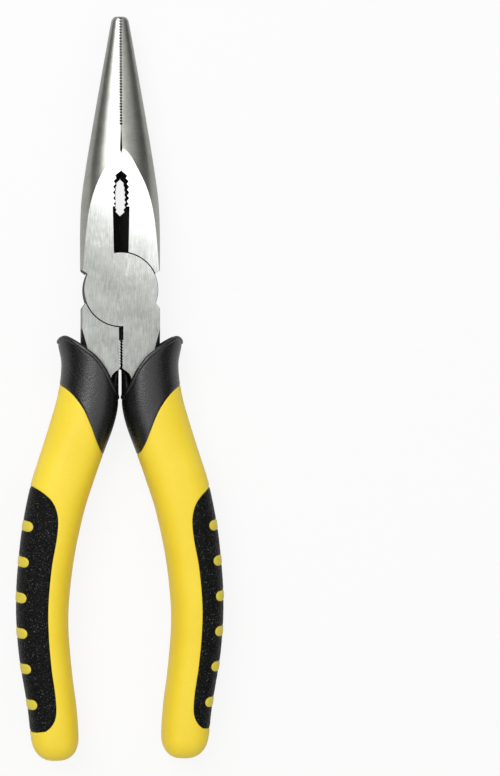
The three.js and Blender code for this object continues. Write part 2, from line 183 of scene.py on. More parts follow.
# The tongue between the tangs: (y, x) down the side that lies along the tang
TONGUE_SIDE = [(-21.2, 0.75), (-21.6, 1.0), (-22.3, 1.6), (-23, 2.1), (-24, 2.5), (-25.5, 2.85),
               (-31, 4)]
TONGUE_INNER = [(-21, 0.4), (-28, 0.4), (-31, 1.4)]
TONGUE_HALF_DEPTH = 4.4
TONGUE_ROUND = 1.2             # length of its rounded end
TONGUE_START = 0.02            # share of that length at which its first section lies
TONGUE_RINGS = 40
TONGUE_STEPS = 32              # round it
INLAY_EDGE = [(26.5, -51.6), (23.8, -52.8), (19.7, -56.2), (18, -60.5), (18.2, -66), (19.6, -74),
              (20.5, -84), (20.4, -92), (19.6, -101), (18.5, -109), (18.5, -114), (20.2, -117),
              (23, -118.4), (26, -118.6)]
INLAY_STEPS = 70               # along that line
INLAY_TOP_Y = -50              # above the inlay
INLAY_LEAN = 0.115             # the seam moves out by this share of its height
INLAY_DEPTH = 1.2
RIDGES = 6
FIRST_RIDGE_Y = -63.05
RIDGE_PITCH = 9.57
RIDGE_HALF_HEIGHT = 1.35
RIDGE_REACH = 2.65             # in from the outer edge, seen from the front
RIDGE_PROUD = 0.12
RIDGE_LENGTH = 8               # out past the edge
RIDGE_ROOT = 1                 # below the inlay, into the shell
RIDGE_END_STEPS = 20

# Softened edges: (how wide, how deep)
RIM_LIP = (1.4, 0.2)
RIM_BEAD = 0.65                # radius of the rolled edge of the collar
BEAD_DROP = 0.75               # its middle lies this share of the radius below the rim
BEAD_INSET = 0.6               # and this share inside the surface
BEAD_STEPS = 240               # along it
BEAD_SIDES = 14                # round it
LOWEST_RIM_Y = -40             # the search for the rim goes no lower
HALVINGS = 30                  # of that search
FOOT_LIP = (0.5, 0.12)
INLAY_LIP = (0.9, 0.22)
POCKET_LIP = (0.5, 0.1)
RIDGE_LIP = (0.7, 0.2)
PEBBLE_SIZE = 0.6
PEBBLE_HEIGHT = 0.1
PEBBLE_VALLEY = 0.45           # a pebble is at its full height where the gap reads this much
PEBBLE_ROUNDNESS = 0.7
PEBBLE_CALM = 0.8              # width of the smooth band along the seams
PEBBLE_SPACING = 0.17          # between points of the pebbled skin

# Painted highlight on the ground faces: where, up their length, their colour turns from mottled grey
# to a painted highlight, and how much lower that is for each millimetre to the right
HIGHLIGHT_FADE = (25.5, 54)
HIGHLIGHT_SLANT = 0.8
PARTING_LINE = (0.05, 0.22)    # half the width of the mould's parting line, at its top and its foot

# Edges sharper than this many degrees stay sharp
SHARP = 30
SHARP_STEEL = 14
SHARP_PEBBLES = 60

# A face looks straight along an axis where its normal's share is more than this
STRAIGHT_ON = 0.999
NEARLY_STRAIGHT_ON = 0.9
TOUCHING = 0.01

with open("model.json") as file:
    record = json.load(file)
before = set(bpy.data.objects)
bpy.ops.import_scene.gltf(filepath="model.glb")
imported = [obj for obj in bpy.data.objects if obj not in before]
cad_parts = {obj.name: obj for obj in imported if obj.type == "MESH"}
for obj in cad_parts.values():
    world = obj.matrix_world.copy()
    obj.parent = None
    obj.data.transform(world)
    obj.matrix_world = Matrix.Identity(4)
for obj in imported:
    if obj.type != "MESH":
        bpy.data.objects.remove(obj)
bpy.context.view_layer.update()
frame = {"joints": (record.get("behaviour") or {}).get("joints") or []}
PIVOT = Vector(frame["joints"][0]["pos_m"])


# ---------- curves ----------

def smooth(points):
    """A smooth function through points of (distance, value)."""
    known = np.array(sorted(points), float)
    at, value = known[:, 0], known[:, 1]
    slope = np.gradient(value, at, edge_order=1)
    slope[1:-1] = (value[2:] - value[:-2]) / (at[2:] - at[:-2])

    def curve(x):
        x = np.clip(x, at[0], at[-1])
        i = np.clip(np.searchsorted(at, x) - 1, 0, len(at) - 2)
        span = at[i + 1] - at[i]
        t = (x - at[i]) / span
        rise = slope[i] * t * (1 - t) ** 2 - slope[i + 1] * t * t * (1 - t)
        level = value[i] * (1 + 2 * t) * (1 - t) ** 2 + value[i + 1] * t * t * (3 - 2 * t)
        return level + rise * span

    return curve


def straight(points):
    """Straight runs between points of (distance, value)."""
    known = np.array(sorted(points), float)
    return lambda x: np.interp(x, known[:, 0], known[:, 1])


def line_across(points):
    """A smooth line through points whose X grows."""
    x = np.linspace(points[0][0], points[-1][0], LINE_STEPS)
    return np.column_stack([x, smooth(points)(x)])


def line_along(points):
    """A smooth line through points whose Y falls."""
    y = np.linspace(points[0][1], points[-1][1], INLAY_STEPS)
    return np.column_stack([smooth([(b, a) for a, b in points])(y), y])


def distance_to(path, x, y):
    """How far each point is from a line made of short straight runs."""
    start, run = path[:-1], np.diff(path, axis=0)
    away = np.stack([x, y], axis=-1)[..., None, :] - start
    share = np.clip((away * run).sum(-1) / (run * run).sum(-1), 0, 1)
    return np.linalg.norm(away - share[..., None] * run, axis=-1).min(axis=-1)


def lip(distance, size):
    """How far a surface drops as it nears an edge and rolls over it."""
    width, depth = size
    return depth * np.clip(1 - distance / width, 0, 2) ** 2


# ---------- solids ----------

def solid(name, vertices, faces, material=None):
    mesh = bpy.data.meshes.new(name)
    mesh.from_pydata(np.asarray(vertices, float).tolist(), [], faces)
    if material:
        mesh.materials.append(material)
    piece = bpy.data.objects.new(name, mesh)
    bpy.context.scene.collection.objects.link(piece)
    return piece


def loft(name, rings, material=None):
    """A closed skin over rings of points, with a flat face at each end."""
    rows, columns = rings.shape[:2]
    here = np.arange(rows * columns).reshape(rows, columns)
    beside = np.roll(here, -1, axis=1)
    quads = np.stack([here[:-1], beside[:-1], beside[1:], here[1:]], axis=-1).reshape(-1, 4)
    faces = quads.tolist() + [here[0, ::-1].tolist(), here[-1].tolist()]
    return outward(solid(name, rings.reshape(-1, 3), faces, material))


def block(name, outline, bottom=-CLEAR_Z, top=CLEAR_Z, lean=0, material=None):
    """An outline in X and Y as a solid from bottom to top, leaning along X as it rises."""
    ring = [[(x + lean * z, y, z) for x, y in outline] for z in (bottom, top)]
    return loft(name, np.array(ring, float), material)


def turned(name, profile, steps, material=None):
    """A profile of (radius, height) turned round the rivet's axis."""
    angle = np.linspace(0, 2 * math.pi, steps, endpoint=False)
    rings = [[(r * math.cos(a), r * math.sin(a), z) for a in angle] for r, z in profile]
    return loft(name, np.array(rings, float), material)


def outward(piece):
    """Turns the solid's faces outward, whichever way its outline ran."""
    mesh = piece.data
    centre = np.mean([v.co for v in mesh.vertices], axis=0)
    volume = sum(f.area * f.normal.dot(f.center - Vector(centre)) for f in mesh.polygons)
    if volume < 0:
        mesh.flip_normals()
    return piece


def bake(piece):
    """Turns the piece's modifiers into its mesh."""
    shaped = piece.evaluated_get(bpy.context.evaluated_depsgraph_get())
    mesh = bpy.data.meshes.new_from_object(shaped)
    piece.modifiers.clear()
    piece.data = mesh
    return piece


def combine(piece, operation, *tools):
    """Adds solids to the piece, cuts them from it, or keeps only what lies in them."""
    for tool in tools:
        step = piece.modifiers.new(operation, "BOOLEAN")
        step.operation = operation
        step.solver = "MANIFOLD"
        step.material_mode = "TRANSFER"
        step.object = tool
    bake(piece)
    for tool in tools:
        bpy.data.objects.remove(tool)
    return piece


def swapped(piece):
    """The same solid on the other half: half a turn about the length of the pliers."""
    piece.data.transform(Matrix.Rotation(math.pi, 4, "Y"))
    return piece


# ---------- materials ----------

def node(tree, kind, **inputs):
    """A shader node whose inputs are values or other nodes' sockets."""
    made = tree.nodes.new("ShaderNode" + kind)
    for name, value in inputs.items():
        socket = made.inputs[name.replace("_", " ")]
        if isinstance(value, bpy.types.NodeSocket):
            tree.links.new(value, socket)
        else:
            socket.default_value = value
    return made


def in_millimetres(tree, stretch=(1, 1, 1)):
    place = node(tree, "TexCoord").outputs["Object"]
    return node(tree, "Mapping", Vector=place, Scale=[s / MM for s in stretch]).outputs["Vector"]


def grain(tree, scale, stretch=(1, 1, 1), detail=3.0, roughness=0.55):
    """Noise from 0 to 1 whose features are about 1 / scale millimetres across."""
    made = node(tree, "TexNoise", Vector=in_millimetres(tree, stretch), Scale=scale, Detail=detail,
                Roughness=roughness)
    return made.outputs[0]


def spread(tree, value, low, high, start=0.3, end=0.7):
    """Maps a value from start to end onto low to high."""
    made = node(tree, "MapRange", Value=value, From_Min=start, From_Max=end, To_Min=low, To_Max=high)
    return made.outputs[0]


def ramp(tree, value, *stops):
    """A colour for each value, from stops of (value, colour)."""
    made = node(tree, "ValToRGB", Fac=value)
    marks = made.color_ramp.elements
    while len(marks) < len(stops):
        marks.new(0.5)
    for mark, (position, colour) in zip(marks, stops):
        mark.position = position
        mark.color = (*colour, 1)
    return made.outputs["Color"]


def maths(tree, operation, a, b):
    made = tree.nodes.new("ShaderNodeMath")
    made.operation = operation
    for socket, value in zip(made.inputs, (a, b)):
        if isinstance(value, bpy.types.NodeSocket):
            tree.links.new(value, socket)
        else:
            socket.default_value = value
    return made.outputs[0]


def weighted(tree, *parts):
    """The sum of values, each multiplied by its weight."""
    total = 0.0
    for value, weight in parts:
        total = maths(tree, "ADD", total, maths(tree, "MULTIPLY", value, weight))
    return total


def bump(tree, height, depth_mm):
    return node(tree, "Bump", Height=height, Strength=1.0, Distance=depth_mm * MM).outputs["Normal"]


def new_material(name):
    made = bpy.data.materials.new(name)
    made.use_nodes = True
    return made, made.node_tree, made.node_tree.nodes["Principled BSDF"]


def wire(tree, shader, **inputs):
    for name, value in inputs.items():
        socket = shader.inputs[name.replace("_", " ")]
        if isinstance(value, bpy.types.NodeSocket):
            tree.links.new(value, socket)
        else:
            socket.default_value = value


def ground_steel():
    """Faces ground flat along the length of the pliers, mottled low down, with a painted highlight
    brightening their colour towards the jaws.
    """
    made, tree, shader = new_material("ground_steel")
    streaks = grain(tree, 1.0, (4.5, 0.35, 1), detail=5.0)
    mottle = grain(tree, 0.8, detail=6.0, roughness=0.7)
    clouds = grain(tree, 0.14)
    place = node(tree, "SeparateXYZ", Vector=in_millimetres(tree)).outputs
    height = weighted(tree, (place["Y"], 1.0), (place["X"], HIGHLIGHT_SLANT))
    # Painted highlight: the colour brightens up the length of the faces, and starts lower on the right.
    painted_highlight = spread(tree, height, 0.0, 1.0, *HIGHLIGHT_FADE)
    mottled = maths(tree, "SUBTRACT", 1.0, painted_highlight)
    marks = maths(tree, "SUBTRACT", weighted(tree, (streaks, 0.65), (mottle, 0.45), (clouds, 0.4)), 0.25)
    tone = weighted(tree, (marks, mottled), (painted_highlight, 0.95))
    colour = ramp(tree, tone, (0.3, (0.22, 0.233, 0.216)), (0.66, (0.395, 0.408, 0.385)),
                  (0.95, (0.86, 0.87, 0.85)))
    wire(tree, shader, Base_Color=colour, Metallic=1.0, Roughness=spread(tree, mottle, 0.36, 0.5),
         Normal=bump(tree, weighted(tree, (streaks, 0.6), (mottle, 0.4)), 0.012))
    return made


def cone_steel():
    """Jaws ground round, so their fine lines run across."""
    made, tree, shader = new_material("cone_steel")
    lines = grain(tree, 1.0, (0.5, 7, 0.5), detail=5.0)
    speckle = grain(tree, 4.0, detail=3.0)
    clouds = grain(tree, 0.25)
    tone = weighted(tree, (lines, 0.25), (speckle, 0.45), (clouds, 0.3))
    colour = ramp(tree, tone, (0.35, (0.27, 0.27, 0.245)), (0.65, (0.46, 0.46, 0.425)))
    wire(tree, shader, Base_Color=colour, Metallic=1.0, Roughness=spread(tree, speckle, 0.29, 0.36),
         Normal=bump(tree, weighted(tree, (lines, 0.6), (speckle, 0.4)), 0.008))
    return made


def black_oxide():
    """Forged and hardened steel, left black."""
    made, tree, shader = new_material("black_oxide")
    speckle = grain(tree, 2.2)
    colour = ramp(tree, speckle, (0.3, (0.006, 0.006, 0.006)), (0.7, (0.016, 0.016, 0.015)))
    wire(tree, shader, Base_Color=colour, Metallic=0.3, Roughness=spread(tree, speckle, 0.45, 0.65),
         Specular_IOR_Level=0.3, Normal=bump(tree, speckle, 0.03))
    return made


def rivet_steel():
    """The rivet's own faces, ground flush with the head."""
    made, tree, shader = new_material("rivet_steel")
    mottle = grain(tree, 1.3, detail=6.0, roughness=0.7)
    clouds = grain(tree, 0.3)
    colour = ramp(tree, weighted(tree, (mottle, 0.5), (clouds, 0.5)), (0.3, (0.28, 0.293, 0.275)),
                  (0.7, (0.41, 0.42, 0.395)))
    wire(tree, shader, Base_Color=colour, Metallic=1.0, Roughness=spread(tree, mottle, 0.36, 0.5),
         Normal=bump(tree, mottle, 0.012))
    return made


def core_plastic():
    """Satin black with a fine sandy grain."""
    made, tree, shader = new_material("black_core")
    sand = grain(tree, 2.6, detail=3.0)
    cloud = grain(tree, 0.3)
    colour = ramp(tree, cloud, (0.3, (0.0042, 0.0045, 0.0042)), (0.7, (0.0085, 0.009, 0.0085)))
    wire(tree, shader, Base_Color=colour, Roughness=spread(tree, sand, 0.15, 0.42),
         Specular_IOR_Level=0.7, Normal=bump(tree, sand, 0.07))
    return made


def shell_plastic(name, low, high):
    """Satin yellow, a little uneven, with the faint line where the mould parted."""
    made, tree, shader = new_material(name)
    cloud = grain(tree, 0.07)
    fine = grain(tree, 1.6, detail=4.0)
    height = node(tree, "SeparateXYZ", Vector=in_millimetres(tree)).outputs["Z"]
    from_middle = maths(tree, "ABSOLUTE", maths(tree, "SUBTRACT", height, PIVOT.z / MM), 0.0)
    parting = spread(tree, from_middle, 1.0, 0.0, *PARTING_LINE)
    colour = ramp(tree, weighted(tree, (cloud, 0.7), (fine, 0.3)), (0.3, low), (0.7, high))
    wire(tree, shader, Base_Color=colour, Roughness=spread(tree, fine, 0.4, 0.55),
         Specular_IOR_Level=0.35, Subsurface_Weight=0.06, Subsurface_Scale=0.001,
         Normal=bump(tree, weighted(tree, (fine, 0.3), (parting, 1.0)), 0.05))
    return made


def inlay_plastic():
    """Black with a pebbled leather grain, and small glints painted into its colour in scattered specks.
    """
    made, tree, shader = new_material("black_inlay")
    fine = grain(tree, 3.5, detail=4.0)
    cells = node(tree, "TexVoronoi", Vector=in_millimetres(tree), Scale=1.9).outputs["Distance"]
    painted_glints = grain(tree, 2.3, detail=4.0, roughness=0.7)
    # The brightest stop of this ramp paints glints into the colour.
    colour = ramp(tree, painted_glints, (0.5, (0.0022, 0.0028, 0.0022)), (0.6, (0.0075, 0.0085, 0.0075)),
                  (0.7, (0.19, 0.2, 0.185)))
    wire(tree, shader, Base_Color=colour, Roughness=spread(tree, fine, 0.24, 0.42),
         Specular_IOR_Level=0.09, Normal=bump(tree, weighted(tree, (cells, -0.8), (fine, 0.5)), 0.25))
    return made


GROUND = ground_steel()
CONE = cone_steel()
OXIDE = black_oxide()
RIVET = rivet_steel()
CORE = core_plastic()
SHELL = shell_plastic("yellow_shell", (0.92, 0.67, 0.034), (0.97, 0.74, 0.05))
# The ridges' yellow is a darker, more lemon copy of the shell's; its darkness is painted shade.
SHADED_RIDGE = shell_plastic("yellow_ridge_painted_shade", (0.73, 0.58, 0.045), (0.83, 0.68, 0.06))
INLAY = inlay_plastic()


# ---------- head ----------

def closing_line():
    """Points down the closing line, from the tips to the joint, at a distance from the middle."""
    points = [(CLOSED_GAP, TIP_Y + OVERRUN)]
    teeth = math.floor((TIP_Y - TEETH_END_Y) / TOOTH_PITCH)
    for i in range(teeth, 0, -1):
        y = TEETH_END_Y + i * TOOTH_PITCH
        points += [(CLOSED_GAP + depth, y - share * TOOTH_PITCH) for share, depth in TOOTH]
    points += [(CLOSED_GAP, TEETH_END_Y), (RELIEVED_GAP, RELIEVED_Y), (CLOSED_GAP, RELIEF_CLOSED_Y)]
    points += [(CLOSED_GAP, PIPE_CENTRE_Y), (EDGE_GAP, SLOT_TOP_Y), (EDGE_GAP, INSIDE_JOINT_Y)]
    return points


def pipe_grip():
    """A toothed oval through both jaws, a little smaller halfway through."""
    def half_width(y):
        share = abs(y - PIPE_CENTRE_Y) / PIPE_HALF_LENGTH
        return PIPE_HALF_WIDTH * (1 - share ** PIPE_ROUNDNESS) ** (1 / PIPE_ROUNDNESS)

    top, bottom = PIPE_CENTRE_Y + PIPE_HALF_LENGTH, PIPE_CENTRE_Y - PIPE_HALF_LENGTH
    side = [(0, top)]
    for k in range(PIPE_SIDE_TEETH, -PIPE_SIDE_TEETH - 1, -1):
        valley = PIPE_CENTRE_Y + k * PIPE_TOOTH_PITCH
        crest = valley - PIPE_TOOTH_PITCH / 2
        side.append((half_width(valley), valley))
        if k > -PIPE_SIDE_TEETH:
            side.append((half_width(crest) - PIPE_TOOTH_DEPTH, crest))
    outline = np.array(side + [(0, bottom)] + [(-x, y) for x, y in reversed(side[1:])])
    waist = outline.copy()
    waist[:, 0] *= 1 - PIPE_WAIST / PIPE_HALF_WIDTH
    waist[:, 1] = bottom + (waist[:, 1] - bottom) * (1 - PIPE_WAIST_TOP / (top - bottom))
    end = FACE_Z + PIPE_OVERRUN
    rings = [np.column_stack([ring, np.full(len(ring), z)])
             for ring, z in ((outline, -end), (waist, 0), (outline, end))]
    return loft("pipe_grip", np.array(rings), OXIDE)


def jaw_cone():
    """Both jaws as one cone, ground flat on its two faces where it is thicker than the joint."""
    root_below = np.linspace(ARCH[-1][0], 0, ARCH_STEPS)
    tip_start = TIP_Y - TIP_LENGTH
    y = np.concatenate([ARCH_TOP_Y - root_below ** 2,
                        np.arange(ARCH_TOP_Y + CONE_START, tip_start, CONE_SPACING),
                        np.linspace(tip_start, TIP_Y, TIP_STEPS)])
    width = smooth(JAW_WIDTHS)(y)
    flat = smooth(ARCH)(np.sqrt(np.maximum(ARCH_TOP_Y - y, 0)))
    turn = np.arccos(flat / width)
    depth = np.where(y < ARCH_TOP_Y, FACE_Z / np.sin(turn), smooth(JAW_DEPTHS)(y))
    angle = turn[:, None] * np.linspace(-1, 1, CONE_STEPS)
    along = np.broadcast_to(y[:, None], angle.shape)
    right = np.stack([width[:, None] * np.cos(angle), along, depth[:, None] * np.sin(angle)], axis=-1)
    left = right[:, ::-1] * (-1, 1, 1)
    return loft("jaw_cone", np.concatenate([right, left], axis=1), CONE)


def left_blade():
    """The left jaw: the cone's left half, down to its shoulder."""
    inner = [(-x, y) for x, y in closing_line()]
    shoulder = [(-x, y) for x, y in SHOULDER]
    edge = block("blade_edge", inner + shoulder + [(-HEAD_SIDE_X, TIP_Y + OVERRUN)], material=OXIDE)
    return combine(jaw_cone(), "INTERSECT", edge)


def cutter_slot():
    """The slot on the front, whose floor slopes in to the cutting edges."""
    rings = []
    for y, half in zip((SLOT_LOW_Y, SLOT_TOP_Y), SLOT_HALF_WIDTHS):
        side = [(half, SLOT_OPEN_Z), (half, SLOT_FLOOR_Z), (EDGE_GAP, EDGE_Z)]
        rings.append([(x, y, z) for x, z in side + [(-x, z) for x, z in reversed(side)]])
    return loft("cutter_slot", np.array(rings, float), OXIDE)


def cutter_pocket():
    """The oval bowl on the back that leaves the cutting edges thin."""
    turn = np.linspace(-POCKET_POLE, POCKET_POLE, POCKET_RINGS) * math.pi
    bowl = turned("cutter_pocket", [(math.cos(a), math.sin(a)) for a in turn], POCKET_STEPS, OXIDE)
    scale = Matrix.Diagonal((*POCKET_SIZE, 1))
    bowl.data.transform(Matrix.Translation((0, POCKET_CENTRE_Y, -FACE_Z)) @ scale)
    return bowl


# ---------- tang ----------

def tang_bar(grow, material=OXIDE):
    """The right-hand tang from the joint to its end in the grip, larger all round by grow."""
    y = np.append(np.arange(TANG_TOP_Y, TANG_END_Y, -TANG_SPACING), TANG_END_Y)
    inset = np.zeros(len(y))
    y = np.append(y, TANG_END_Y - TANG_END_ROUND - grow)
    inset = np.append(inset, TANG_END_ROUND)
    low = smooth(TANG_INNER)(y) - grow + inset
    high = smooth(TANG_OUTER)(y) + grow - inset
    top = straight(TANG_HALF_DEPTHS)(y) + grow - inset
    bevel = np.minimum(straight(TANG_BEVELS)(y), (high - low) / 3)
    turns = np.linspace(0, BEVEL_TURN, BEVEL_STEPS)
    corner = [(high - bevel * (1 - math.cos(a)) / (1 - math.cos(BEVEL_TURN)),
               top - bevel + bevel * math.sin(a) / math.sin(BEVEL_TURN)) for a in turns]
    front = corner + [(low + TANG_CHAMFER, top), (low, top - TANG_CHAMFER)]
    ring = front + [(x, -z) for x, z in reversed(front)]
    rings = np.array([[x, y, z] for x, z in ring]).transpose(2, 0, 1)
    return loft("tang", rings, material)


def throat():
    """What is cut from the inner side of the tangs: a narrow gap, toothed in the throat."""
    points = [(ACROSS_X, THROAT_TOP_Y), (RELIEF_GAP, THROAT_TOP_Y), (RELIEF_GAP, RELIEF_END_Y)]
    teeth = math.floor((RELIEF_END_Y - THROAT_END_Y) / TOOTH_PITCH)
    for i in range(teeth):
        y = RELIEF_END_Y - i * TOOTH_PITCH
        points += [(THROAT_GAP, y - THROAT_TOOTH_STEP),
                   (THROAT_GAP + THROAT_TOOTH_DEPTH, y - TOOTH_PITCH / 2)]
    points += [(THROAT_GAP, THROAT_END_Y), (ACROSS_X, THROAT_END_Y - THROAT_MOUTH)]
    return block("throat", points, material=OXIDE)


def reliefs():
    """The slot sunk between the tangs from the front and the back, just below the joint."""
    outline = [(ACROSS_X, THROAT_TOP_Y), (RELIEF_HALF_WIDTH, THROAT_TOP_Y),
               (RELIEF_HALF_WIDTH, RELIEF_END_Y), (ACROSS_X, RELIEF_END_Y)]
    front = block("relief", outline, bottom=FACE_Z - RELIEF_DEPTH, material=OXIDE)
    back = block("relief", outline, top=RELIEF_DEPTH - FACE_Z, material=OXIDE)
    return front, back


def right_tang():
    """The tang with its shoulder, its toothed throat and the slot below the joint."""
    shoulder = block("tang_shoulder", TANG_SHOULDER_TOP + [(HEAD_SIDE_X, TANG_CUT_Y), (0, TANG_CUT_Y)],
                     material=OXIDE)
    return combine(tang_bar(0), "DIFFERENCE", throat(), *reliefs(), shoulder)


def jaw_half(turn):
    """A forged half. Turn puts the wire cutter and the rivet's hole where this half needs them."""
    boss = turned("boss", [(ON_AXIS, LAP_GAP), (BOSS_RADIUS, LAP_GAP),
                           (BOSS_RADIUS, FACE_Z - BOSS_CHAMFER), (BOSS_RADIUS - BOSS_CHAMFER, FACE_Z),
                           (ON_AXIS, FACE_Z)], ROUND_STEPS, OXIDE)
    seat_radius = BOSS_RADIUS + BOSS_CLEARANCE
    seat_bottom = -FACE_Z - OVERRUN
    seat = turned("seat", [(ON_AXIS, seat_bottom), (seat_radius, seat_bottom), (seat_radius, LAP_GAP),
                           (ON_AXIS, LAP_GAP)], ROUND_STEPS, OXIDE)
    half = combine(left_blade(), "DIFFERENCE", pipe_grip(), turn(cutter_slot()), turn(cutter_pocket()))
    combine(half, "UNION", boss, right_tang())
    combine(half, "DIFFERENCE", seat, turn(rivet("hole", FRONT_CLEARANCE, BACK_CLEARANCE, OXIDE)))
    grind_faces(half)
    return half


def grind_faces(half):
    """Gives the head's flat faces, and the tang's side above the grip, their ground finish."""
    half.data.materials.append(GROUND)
    ground = len(half.data.materials) - 1
    for face in half.data.polygons:
        flat = abs(face.normal.z) > STRAIGHT_ON and abs(abs(face.center.z) - FACE_Z) < TOUCHING
        beside = face.center.x > BOSS_RADIUS and SIDE_END_Y < face.center.y < 0
        if flat or (beside and face.normal.x > NEARLY_STRAIGHT_ON):
            face.material_index = ground


def rivet(name, front_clearance, back_clearance, material):
    """Flush at both ends: a countersunk head at the back and a peened flare at the front."""
    end = FACE_Z + (HOLE_OVERRUN if back_clearance else 0)
    back = HEAD_RADIUS + back_clearance
    return turned(name, [
        (ON_AXIS, -end),
        (back, -end),
        (back, HEAD_RIM / 2 - FACE_Z),
        (SHANK_RADIUS + back_clearance, HEAD_DEPTH - FACE_Z),
        (SHANK_RADIUS + front_clearance, FACE_Z - FLARE_DEPTH),
        (FLARE_RADIUS + front_clearance, end),
        (ON_AXIS, end),
    ], RIVET_STEPS, material)


# ---------- grips ----------

def round_section(steps, squareness):
    """Unit points round the grip's section, evenly spaced on a section of the usual size."""
    half_width, half_depth = SECTION_SIZE
    angle = np.linspace(0, 2 * math.pi, FINE_STEPS)
    power = 2 / squareness
    across = np.sign(np.cos(angle)) * np.abs(np.cos(angle)) ** power
    up = np.sign(np.sin(angle)) * np.abs(np.sin(angle)) ** power
    run = np.hypot(np.diff(across) * half_width, np.diff(up) * half_depth)
    length = np.append(0, np.cumsum(run))
    even = np.linspace(0, length[-1], steps, endpoint=False)
    return np.interp(even, length, across), np.interp(even, length, up)


def grip_rings(inset, spacing, top=GRIP_TOP_Y):
    """Points of the right-hand grip from its top down, smaller all round by inset."""
    y = np.append(np.arange(top, GRIP_ROUND_Y, -spacing), GRIP_ROUND_Y)
    turn = np.linspace(0, math.pi / 2, max(LEAST_END_RINGS, round(END_LENGTH / spacing)))[1:]
    turn[-1] = math.pi / 2 - END_STOP
    share = np.sin(turn)
    reach = GRIP_ROUND_Y - END_Y - inset
    shrink = np.append(np.ones(len(y)), (1 - share ** END_SQUARENESS) ** (1 / END_SQUARENESS))
    y = np.append(y, GRIP_ROUND_Y - reach * share)
    outer, inner = smooth(GRIP_OUTER)(y), smooth(GRIP_INNER)(y)
    half_width = ((outer - inner) / 2 - inset) * shrink
    half_depth = (smooth(GRIP_HALF_DEPTHS)(y) - inset) * shrink
    squareness = straight(GRIP_SQUARENESS)(y)
    steps = round(SECTION_LENGTH / spacing)
    sections = {s: round_section(steps, s) for s in set(squareness)}
    across, up = np.array([sections[s] for s in squareness]).transpose(1, 0, 2)
    crest = straight(GRIP_LEAN)(y)[:, None] * up ** 2
    x = ((outer + inner) / 2)[:, None] + half_width[:, None] * across + crest
    z = half_depth[:, None] * up
    return np.stack([x, np.broadcast_to(y[:, None], x.shape), z], axis=-1)


def surface_normals(rings):
    """Which way is outward at each point of a skin."""
    around = np.roll(rings, -1, axis=1) - np.roll(rings, 1, axis=1)
    along = np.gradient(rings, axis=0)
    normal = np.cross(around, along)
    length = np.linalg.norm(normal, axis=-1, keepdims=True)
    return normal / np.maximum(length, 1e-9)


def grip_body(name, inset=0.0, spacing=CORE_SPACING, raised=None, material=None, top=GRIP_TOP_Y):
    """The right-hand grip as a solid. Raised lifts its surface by a height at each point."""
    rings = grip_rings(inset, spacing, top)
    if raised:
        rings = rings + surface_normals(rings) * raised(rings)[..., None]
    return loft(name, rings, material)


def above(name, line, shift=0.0, material=None):
    """Everything on the tip side of a line that crosses the grip from left to right."""
    moved = [(x, y + shift) for x, y in line]
    corners = [(GRIP_SIDE_X, moved[-1][1]), (GRIP_SIDE_X, 0), (ACROSS_X, 0), (ACROSS_X, moved[0][1])]
    return block(name, moved + corners, material=material)


RIM_LINE = np.vstack([RIM_START, line_across(COLLAR_RIM)])
FOOT_LINE = line_across(COLLAR_FOOT)
INLAY_LINE = line_along(INLAY_EDGE)
FOOT_Y = smooth(COLLAR_FOOT)
INLAY_X = smooth([(y, x) for x, y in INLAY_EDGE])


def below_rim(x, y):
    """Distance from the rim of the collar, negative above it."""
    return np.where(y < np.interp(x, *RIM_LINE.T), 1, -1) * distance_to(RIM_LINE, x, y)


def from_foot(x, y):
    """Distance from the seam between collar and shell, positive on the collar's side."""
    return np.where(y > FOOT_Y(x), 1, -1) * distance_to(FOOT_LINE, x, y)


def into_inlay(x, y, z):
    """Distance from the seam round the inlay, positive inside it."""
    x = x - INLAY_LEAN * z
    inside = (x > INLAY_X(y)) & (y < INLAY_LINE[0, 1]) & (y > INLAY_LINE[-1, 1])
    return np.where(inside, 1, -1) * distance_to(INLAY_LINE, x, y)


def ridge_lines():
    """The middle line of each ridge, from its round inner end out across the edge of the grip."""
    outer = smooth(GRIP_OUTER)
    lines = []
    for i in range(RIDGES):
        y = FIRST_RIDGE_Y - i * RIDGE_PITCH
        slope = math.atan((outer(y + 1) - outer(y - 1)) / 2)
        out = np.array([math.cos(slope), -math.sin(slope)])
        edge = np.array([outer(y), y])
        inner = edge - out * (RIDGE_REACH - RIDGE_HALF_HEIGHT)
        lines.append(np.array([inner, edge + out * RIDGE_LENGTH]))
    return lines


def from_ridges(x, y):
    """Distance from the nearest ridge, negative inside it."""
    return np.min([distance_to(line, x, y) for line in ridge_lines()], axis=0) - RIDGE_HALF_HEIGHT


def ridge_bars(grow):
    """A bar for each ridge, right through the grip's side, wider all round by grow."""
    radius = RIDGE_HALF_HEIGHT + grow
    bars = []
    for inner, outer in ridge_lines():
        out = (outer - inner) / np.linalg.norm(outer - inner)
        side = np.array([-out[1], out[0]])
        round_end = [inner + radius * (-math.sin(a) * out + math.cos(a) * side)
                     for a in np.linspace(0, math.pi, RIDGE_END_STEPS)]
        outline = [outer + side * radius, *round_end, outer - side * radius]
        bars.append(block("ridge_bar", outline, material=SHADED_RIDGE))
    return bars


def inlay_region(name, grow, material):
    """Everything within the seam round the inlay, larger all round by grow."""
    line = [(x - grow, y) for x, y in INLAY_LINE]
    top, bottom = line[0][1] + grow, line[-1][1] - grow
    outline = [(GRIP_SIDE_X, top), (line[0][0], top), *line, (line[-1][0], bottom), (GRIP_SIDE_X, bottom)]
    return block(name, outline, lean=INLAY_LEAN, material=material)


def collar_surface(p):
    """How far the collar's surface drops at its rim and at its foot."""
    x, y, _ = np.moveaxis(p, -1, 0)
    return -lip(below_rim(x, y), RIM_LIP) - lip(from_foot(x, y), FOOT_LIP)


